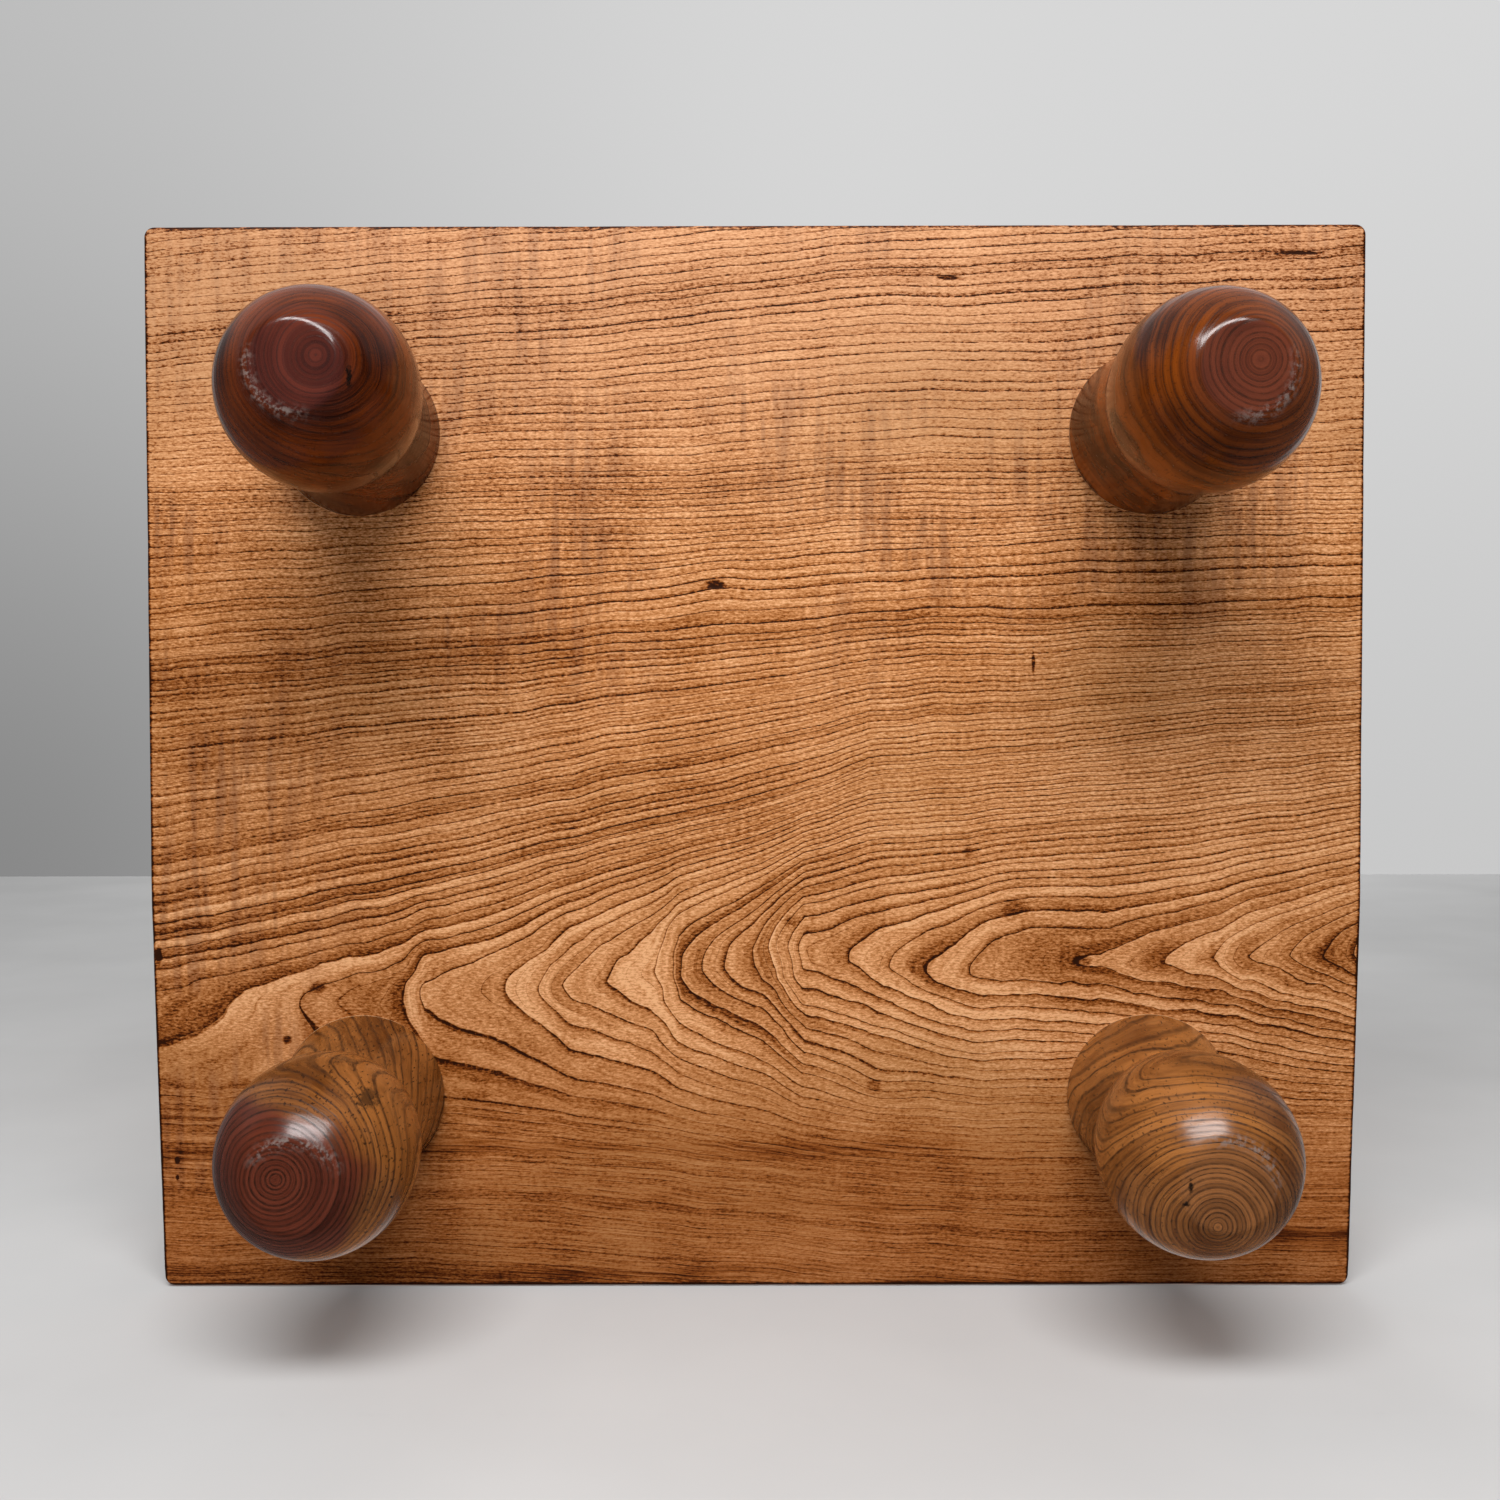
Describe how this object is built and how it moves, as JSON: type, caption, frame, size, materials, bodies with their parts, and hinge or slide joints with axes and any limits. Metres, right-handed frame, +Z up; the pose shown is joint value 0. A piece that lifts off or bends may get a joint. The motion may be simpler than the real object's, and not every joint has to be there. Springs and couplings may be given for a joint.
{
  "type": "go board",
  "caption": "Floor-standing go board: a thick slab of figured wood with a ruled playing face, carried on turned bulb-shaped legs that push into mortises and pull out.",
  "frame": {"origin": "centre of the board's footprint, on the floor that the feet stand on", "axes": "+Z up out of the playing face, +X along the grain and the long side, +Y towards the long edge where the ends draw in"},
  "size_m": [0.485, 0.424, 0.2312],
  "materials": {
    "board_wood": "satin",
    "leg_wood_dark": "gloss",
    "leg_wood_brown": "gloss",
    "leg_wood_red": "gloss",
    "leg_wood_golden": "gloss",
    "lacquer": "satin"
  },
  "bodies": {
    "board": {"board_block": "board_wood", "grid_lines": "lacquer", "star_points": "lacquer"},
    "leg_front_left": {"leg_front_left": "leg_wood_dark"},
    "leg_front_right": {"leg_front_right": "leg_wood_brown"},
    "leg_rear_left": {"leg_rear_left": "leg_wood_red"},
    "leg_rear_right": {"leg_rear_right": "leg_wood_golden"}
  },
  "joints": [
    {"name": "leg_front_left_pull", "type": "slide", "parent": "board", "child": "leg_front_left", "axis": [0.0732, -0.0209, -0.9971], "range_m": [0, 0.036]},
    {"name": "leg_front_right_pull", "type": "slide", "parent": "board", "child": "leg_front_right", "axis": [0.0244, -0.0052, -0.9997], "range_m": [0, 0.036]},
    {"name": "leg_rear_left_pull", "type": "slide", "parent": "board", "child": "leg_rear_left", "axis": [0.0401, 0.0279, -0.9988], "range_m": [0, 0.036]},
    {"name": "leg_rear_right_pull", "type": "slide", "parent": "board", "child": "leg_rear_right", "axis": [-0.0209, 0.0279, -0.9994], "range_m": [0, 0.036]}
  ]
}
